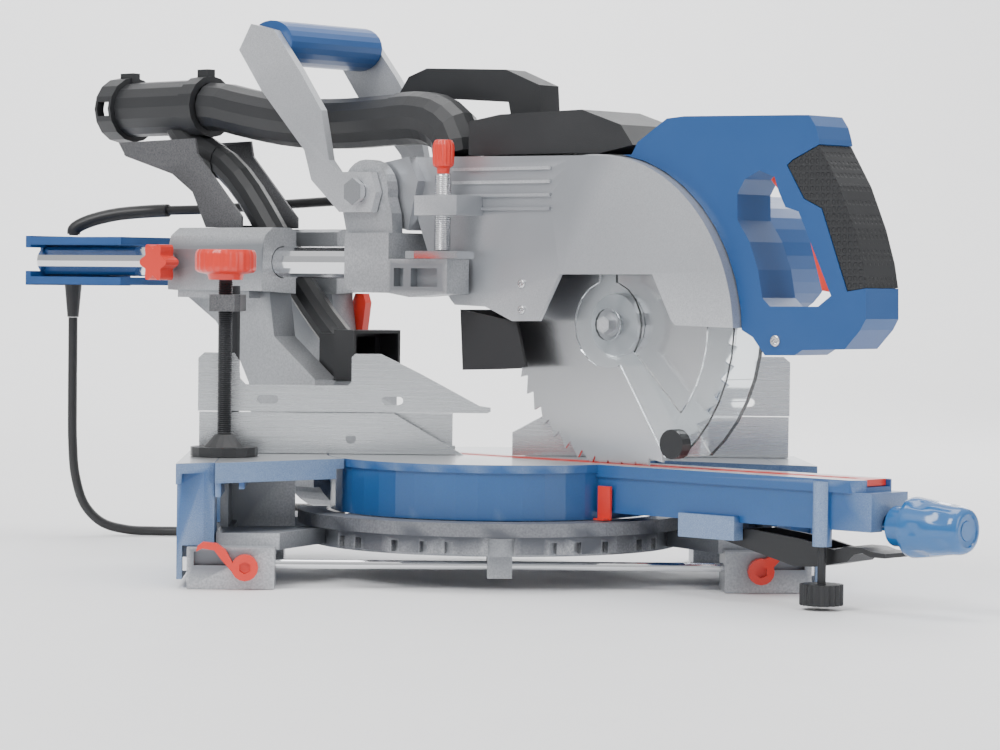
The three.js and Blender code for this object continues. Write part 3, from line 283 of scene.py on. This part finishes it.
def from_pydata(name, v, f, body, key, smooth=True, width=0.0, seg=2):
    me = bpy.data.meshes.new(name)
    me.from_pydata([tuple(p) for p in v], [], f)
    me.update()
    bm = bmesh.new(); bm.from_mesh(me); bmesh.ops.recalc_face_normals(bm, faces=bm.faces); bm.to_mesh(me); bm.free()
    o = obj(name, me, body, key)
    if width or smooth:
        soften(o, width, seg, dissolve=False)
    return o


def frame_of(center, axis):
    z = Vector(axis).normalized()
    x = z.orthogonal().normalized()
    if abs(z.dot(UP)) < 0.9:
        x = UP.cross(z).normalized()
    y = z.cross(x)
    m = Matrix((x, y, z)).transposed().to_4x4()
    m.translation = center
    return m


def lathe_data(profile, n=48, wave=None):
    """profile: (radius, height) pairs in mm, closed on the axis at both ends if radius is 0"""
    v, f, rows = [], [], []
    for r, h in profile:
        if r < 1e-6:
            rows.append([len(v)]); v.append(Vector((0, 0, h / 1000)))
        else:
            row = []
            for i in range(n):
                a = 2 * math.pi * i / n
                q = r + (wave(a, r, h) if wave else 0)
                row.append(len(v)); v.append(Vector((q * math.cos(a) / 1000, q * math.sin(a) / 1000, h / 1000)))
            rows.append(row)
    for a, b in zip(rows, rows[1:]):
        if len(a) == 1 and len(b) == 1:
            continue
        for i in range(n):
            j = (i + 1) % n
            if len(a) == 1:
                f.append((a[0], b[j], b[i]))
            elif len(b) == 1:
                f.append((a[i], a[j], b[0]))
            else:
                f.append((a[i], a[j], b[j], b[i]))
    return v, f


class Bag:
    """collects geometry for one piece"""

    def __init__(self):
        self.v, self.f = [], []

    def add(self, v, f, m=None):
        k = len(self.v)
        self.v += [(m @ p) if m is not None else Vector(p) for p in v]
        self.f += [tuple(i + k for i in q) for q in f]
        return self

    def lathe(self, profile, center, axis, n=48, wave=None):
        v, f = lathe_data(profile, n, wave)
        return self.add(v, f, frame_of(center, axis))

    def prism(self, pts, lo, hi):
        """pts: list of 3-D points of an outline, swept from lo to hi (offset vectors)"""
        n = len(pts)
        v = [p + lo for p in pts] + [p + hi for p in pts]
        f = [tuple(range(n))[::-1], tuple(range(n, 2 * n))] + [(i, (i + 1) % n, n + (i + 1) % n, n + i) for i in range(n)]
        return self.add(v, f)

    def make(self, name, body, key, width=0.0, seg=2, replaces=()):
        o = from_pydata(name, self.v, self.f, body, key, True, width, seg)
        if replaces:
            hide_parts(*replaces)
        return o


def spline_obj(name, polys, depth, body, key, cyclic=False, res=3, bezier=False):
    cu = bpy.data.curves.new(name, "CURVE"); cu.dimensions = "3D"; cu.bevel_depth = depth; cu.bevel_resolution = res
    cu.use_fill_caps = True
    for pts in polys:
        if bezier:
            s = cu.splines.new("NURBS"); s.points.add(len(pts) - 1)
            for q, p in zip(s.points, pts):
                q.co = (*p, 1)
            s.use_endpoint_u = True; s.order_u = 4; s.resolution_u = 6
        else:
            s = cu.splines.new("POLY"); s.points.add(len(pts) - 1)
            for q, p in zip(s.points, pts):
                q.co = (*p, 1)
        s.use_cyclic_u = cyclic
        s.use_smooth = True
    cu.materials.append(M_[key])
    o = bpy.data.objects.new(name, cu)
    bpy.context.scene.collection.objects.link(o)
    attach(o, body)
    return o


def plate(name, outline, holes, x0, x1, rnd, body, key, plane="X", replaces=(), res=3):
    """Rounded-edge plate from an outline. plane X: (f, z) at x from x0 to x1 in the arm frame; Y: (x, z) at y from y0 to y1 in the base
    frame; Z: (x, y) at z in the base frame."""
    cu = bpy.data.curves.new(name, "CURVE"); cu.dimensions = "2D"; cu.fill_mode = "BOTH"
    h = (x1 - x0) / 2000
    r = min(rnd / 1000, h * 0.98)
    cu.extrude = h - r; cu.bevel_depth = r; cu.bevel_resolution = res; cu.offset = -r
    for pts in [outline, *holes]:
        s = cu.splines.new("POLY"); s.points.add(len(pts) - 1)
        for q, (a, b) in zip(s.points, pts):
            q.co = (a / 1000, b / 1000, 0, 1)
        s.use_cyclic_u = True
        s.use_smooth = True
    o = bpy.data.objects.new(name + "_c", cu)
    bpy.context.scene.collection.objects.link(o)
    mid = (x0 + x1) / 2
    if plane == "X":
        mw = Matrix((AF, UP, -AX)).transposed().to_4x4(); mw.translation = A(mid, 0, 0)
    elif plane == "Y":
        mw = Matrix((Vector((1, 0, 0)), UP, Vector((0, -1, 0)))).transposed().to_4x4(); mw.translation = B(0, mid, 0)
    else:
        mw = Matrix.Identity(4); mw.translation = B(0, 0, mid)
    o.matrix_world = mw
    bpy.context.view_layer.update()
    me = bpy.data.meshes.new_from_object(o.evaluated_get(bpy.context.evaluated_depsgraph_get()))
    me.transform(mw)
    me.name = name
    bpy.data.objects.remove(o)
    me.materials.clear()
    bm = bmesh.new(); bm.from_mesh(me); bmesh.ops.remove_doubles(bm, verts=bm.verts, dist=1e-6); bmesh.ops.recalc_face_normals(bm, faces=bm.faces); bm.to_mesh(me); bm.free()
    p = obj(name, me, body, key)
    s = p.modifiers.new("smooth", "NODES"); s.node_group = SMOOTH
    w = p.modifiers.new("wn", "WEIGHTED_NORMAL"); w.keep_sharp = True; w.weight = 60
    if replaces:
        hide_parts(*replaces)
    return p


def circle(cx, cy, r, n, a0=0, a1=360):
    full = abs(a1 - a0 - 360) < 1e-6
    k = n if full else n + 1
    return [(cx + r * math.cos(math.radians(a0 + (a1 - a0) * i / n)), cy + r * math.sin(math.radians(a0 + (a1 - a0) * i / n))) for i in range(k)]


# ------------------------------------------------------------------ mains lead: one curve from the gland across the floor and round the coil
g2 = C45
GL = ((-17 - 482) * g2, (-17 + 482) * g2)
lead = [(GL[0], GL[1], 188.5), (GL[0], GL[1], 160), (GL[0], GL[1], 120), (GL[0] + 0.5, GL[1], 80), (GL[0] + 3, GL[1], 52),
        (GL[0] + 11, GL[1] + 0.5, 27), (GL[0] + 26, GL[1] + 2, 11.5), (GL[0] + 48, GL[1] + 4, 5.2), (GL[0] + 70, GL[1] + 5, 4.2),
        (GL[0] + 92, GL[1] + 3, 4.2), (GL[0] + 112, GL[1] - 4, 4.2), (GL[0] + 132, GL[1] - 13, 4.2)]


def catmull(pts, per=8):
    P = [Vector(p) for p in pts]
    P = [P[0] * 2 - P[1]] + P + [P[-1] * 2 - P[-2]]
    out = []
    for i in range(1, len(P) - 2):
        p0, p1, p2, p3 = P[i - 1:i + 3]
        t0 = 0; t1 = t0 + (p1 - p0).length ** 0.5; t2 = t1 + (p2 - p1).length ** 0.5; t3 = t2 + (p3 - p2).length ** 0.5
        for k in range(per):
            t = t1 + (t2 - t1) * k / per
            a1 = p0 * ((t1 - t) / (t1 - t0)) + p1 * ((t - t0) / (t1 - t0))
            a2 = p1 * ((t2 - t) / (t2 - t1)) + p2 * ((t - t1) / (t2 - t1))
            a3 = p2 * ((t3 - t) / (t3 - t2)) + p3 * ((t - t2) / (t3 - t2))
            b1 = a1 * ((t2 - t) / (t2 - t0)) + a2 * ((t - t0) / (t2 - t0))
            b2 = a2 * ((t3 - t) / (t3 - t1)) + a3 * ((t - t1) / (t3 - t1))
            out.append(b1 * ((t2 - t) / (t2 - t1)) + b2 * ((t - t1) / (t2 - t1)))
    out.append(P[-2])
    return out


d0 = math.atan2(lead[-1][1] - lead[-2][1], lead[-1][0] - lead[-2][0])
cx = lead[-1][0] + 31 * math.cos(d0) - 54 * math.sin(d0)
cy = lead[-1][1] + 31 * math.sin(d0) + 54 * math.cos(d0)
free = catmull(lead, 6)
for s in (8, 16, 24):
    free.append(Vector((lead[-1][0] + s * math.cos(d0), lead[-1][1] + s * math.sin(d0), 4.2)))
# turns: outer to inner on the floor, then out again on the layer above, and so on
a_in = d0 - math.pi / 2
radii = [(54, 4.2), (45.6, 4.2), (37.2, 4.2), (37.2, 12.4), (45.6, 12.4), (54, 12.4), (49.8, 20.4), (41.4, 20.4)]
turn, coil = 0.0, []
PER = 28
for i, (r, z) in enumerate(radii):
    nr, nz = radii[i + 1] if i + 1 < len(radii) else (r, z)
    for k in range(PER):
        u = k / PER
        w = 0 if u < 0.8 else (u - 0.8) / 0.2
        w = w * w * (3 - 2 * w)
        a = a_in + 2 * math.pi * (i + u)
        coil.append(Vector((cx + (r + (nr - r) * w) * math.cos(a), cy + (r + (nr - r) * w) * math.sin(a), z + (nz - z) * w)))
PLUG_END = (cx + 58 + 0.6, cy + 4, 20)
pts_mm = free + coil
pts = [B(*p) for p in pts_mm]
cord = spline_obj("mains_lead", [pts], 0.004, "carriage", "cord_sheath", res=5)
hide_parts("cord_lead", "cord_coil")

# the part of the lead that the saw holds, over the housing and down into the gland
held = [A(*p) * 1000 for p in [(44, -119.8, 291), (45, -150, 290), (45, -220, 288), (44, -300, 285), (40, -370, 282), (24, -425, 280.5),
                              (5, -455, 277), (-11, -474, 270), (-16.8, -481.6, 264), (-17, -482, 259)]]
hp = [p / 1000 for p in catmull(held, 6)]
held_o = spline_obj("held_lead", [hp], 0.004, "carriage", "cord_sheath", res=5)
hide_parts("cord_held")
sl = [A(*p) * 1000 for p in [(28, -411, 281), (24, -425, 280.5), (5, -455, 277), (-11, -474, 270), (-16.8, -481.6, 264), (-17, -482, 260)]]
spline_obj("lead_sleeve", [[p / 1000 for p in catmull(sl, 6)]], 0.0056, "carriage", "cord_sheath", res=5)


# ------------------------------------------------------------------ turned knobs, spindles and screws
def node_points(n):
    o = NODES[n]
    return [o.matrix_world @ v.co for v in o.data.vertices]


def upright(n, split):
    """centre, foot height, top height and shank radius in mm of a node that stands on a vertical axis"""
    vs = [v * 1000 for v in node_points(n)]
    cx = (min(v.x for v in vs) + max(v.x for v in vs)) / 2
    cy = (min(v.y for v in vs) + max(v.y for v in vs)) / 2
    low = [math.hypot(v.x - cx, v.y - cy) for v in vs if v.z < split]
    return cx, cy, min(v.z for v in vs), max(v.z for v in vs), (max(low) if low else 4.0), max(math.hypot(v.x - cx, v.y - cy) for v in vs)


def thread(r, z0, z1, pitch=1.5):
    out, z = [(0, z0), (r - 0.8, z0)], z0 + 0.5
    while z < z1 - pitch:
        out += [(r - 0.05, z), (r - 0.6, z + pitch / 2)]
        z += pitch
    return out + [(r - 0.6, z1), (0, z1)]


def knob_profile(R, z0, z1):
    h = z1 - z0
    return [(0, z0), (R * 0.55, z0), (R * 0.6, z0 + h * 0.18), (R * 0.9, z0 + h * 0.24), (R - 0.2, z0 + h * 0.32), (R, z0 + h * 0.45), (R, z0 + h * 0.8),
            (R - 0.5, z0 + h * 0.9), (R - 1.8, z1 - 0.3), (R * 0.7, z1), (R * 0.55, z1 - 0.5), (R * 0.5, z1 - 1.2), (0, z1 - 1.2)]


def knurl(R, count, depth):
    return lambda a, r, h: -depth * (0.5 + 0.5 * math.cos(count * a)) if r > R * 0.93 else 0.0


for name, node, body, split, foot in (("clamp", "clamp_screw", "clamp_spindle", 205, 222.6), ("depth", "depth_screw", "depth_stop_screw", 300, 304)):
    cx, cy, z0, z1, rs, rk = upright(node, split)
    c0 = Vector((cx, cy, 0)) / 1000
    Bag().lathe(knob_profile(rk - 0.1, foot, z1), c0, UP, 96, knurl(rk - 0.1, 24 if name == "clamp" else 16, 0.7)).make(name + "_knob", body, "red_plastic", replaces=(node,))
    Bag().lathe(thread(rs, z0, foot + 0.4), c0, UP, 32).make(name + "_thread", body, "black_steel" if name == "clamp" else "screw_steel")

kp = [(0, -50), (4, -50), (4, 0.2), (13.8, 0.2), (14, 1), (14, 13.2), (19.3, 13.6), (20.6, 14.6), (21.1, 17)]
for i in range(0, 19):
    hh = 18 + i * 2
    kp.append((21.1 - (hh - 18) * 4.5 / 36, hh))
kp += [(15.9, 56.4), (14.6, 58.6), (12.9, 59.6), (11.4, 59.6), (10.8, 58.4), (7, 58.2), (6.6, 58.9), (0, 58.9)]


def fingers(a, r, h):
    if not 18 < h < 54:
        return 0.0
    row, u = (0, (h - 18) / 18) if h < 36 else (1, (h - 36) / 18)
    return -1.1 * math.sin(math.pi * u) ** 2 * max(0.0, math.cos(6 * a + row * math.pi)) ** 0.7


Bag().lathe(kp, A(0, 376, 59.5), AF, 96, fingers).make("mitre_knob_turned", "mitre_lock_knob", "knob_blue", replaces=("mitre_knob",))


def screw(bag, p, ax, r, h=1.8):
    prof = [(0, -0.8), (r, -0.8), (r, h - 0.8), (r - 0.5, h - 0.2), (r * 0.7, h), (r * 0.5, h - 0.1), (r * 0.46, h - 1.4), (0, h - 1.5)]
    bag.lathe(prof, p, ax, 36, lambda a, q, z: 0.12 * r * math.cos(6 * a) if r * 0.4 < q < r * 0.55 else 0.0)


sb = Bag()
for q, r in (((-28.2, 52, 222), 3.6), ((-28.2, 52.2, 202.6), 3.6), ((-19.0, 284.5, 184.4), 4.2)):
    screw(sb, A(*q), -AX, r)
sb.make("head_screws", "head", "screw_steel")


# ------------------------------------------------------------------ floor, backdrop and light
fv, ff = [], []
prof = [(-3.2, 0.0), (-0.5, 0.0), (1.6, 0.0), (2.4, 0.02), (3.0, 0.12), (3.6, 0.42), (4.0, 0.95), (4.15, 1.8), (4.2, 4.5)]
for i, (y, z) in enumerate(prof):
    fv += [(-6, y, z - 0.0004), (6, y, z - 0.0004)]
    if i:
        ff.append((2 * i - 2, 2 * i - 1, 2 * i + 1, 2 * i))
fl_me = bpy.data.meshes.new("floor"); fl_me.from_pydata(fv, [], ff); fl_me.update()
floor = bpy.data.objects.new("floor", fl_me); bpy.context.scene.collection.objects.link(floor)
for q in fl_me.polygons:
    q.use_smooth = True
sub = floor.modifiers.new("s", "SUBSURF"); sub.levels = 2; sub.render_levels = 2
FM = mat("floor_white", (0.9, 0.9, 0.905), 0.6, 0.0, bump=0.02, scale=60, tint=0.01, spec=0.2)
fl_me.materials.append(FM)


def area(name, loc, target, size, power, size_y=None, color=(1, 1, 1)):
    l = bpy.data.lights.new(name, "AREA"); l.energy = power; l.size = size; l.color = color
    if size_y:
        l.shape = "RECTANGLE"; l.size_y = size_y
    o = bpy.data.objects.new(name, l); bpy.context.scene.collection.objects.link(o)
    o.location = loc
    o.rotation_mode = "QUATERNION"
    o.rotation_quaternion = (Vector(target) - Vector(loc)).to_track_quat("-Z", "Y")
    return o


area("key", (-1.3, -1.5, 1.9), (0, 0, 0.2), 1.1, 42, 1.1)
area("top", (0.1, 0.2, 2.2), (0, 0, 0.1), 1.8, 30, 1.2)
area("fill", (1.7, -1.6, 0.9), (0, 0, 0.2), 1.2, 13, 1.4)
area("rim", (1.2, 1.6, 1.2), (0, 0, 0.25), 1.0, 16, 1.0)
area("back_wash", (0, 2.6, 2.6), (0, 4.0, 0.6), 3.0, 95, 1.0)
W = bpy.data.worlds.new("studio"); bpy.context.scene.world = W; W.use_nodes = True
wn, wl = W.node_tree.nodes, W.node_tree.links
bg = wn["Background"]
tc = wn.new("ShaderNodeTexCoord"); sp = wn.new("ShaderNodeSeparateXYZ"); cr = wn.new("ShaderNodeValToRGB")
mr = wn.new("ShaderNodeMapRange"); mr.inputs["From Min"].default_value = -1; mr.inputs["From Max"].default_value = 1
wl.new(tc.outputs["Generated"], sp.inputs[0]); wl.new(sp.outputs["Z"], mr.inputs["Value"]); wl.new(mr.outputs[0], cr.inputs["Fac"])
cr.color_ramp.elements[0].position = 0.42; cr.color_ramp.elements[0].color = (0.25, 0.26, 0.28, 1)
cr.color_ramp.elements[1].position = 0.85; cr.color_ramp.elements[1].color = (1.0, 1.0, 1.0, 1)
wl.new(cr.outputs[0], bg.inputs["Color"]); bg.inputs["Strength"].default_value = 1.0
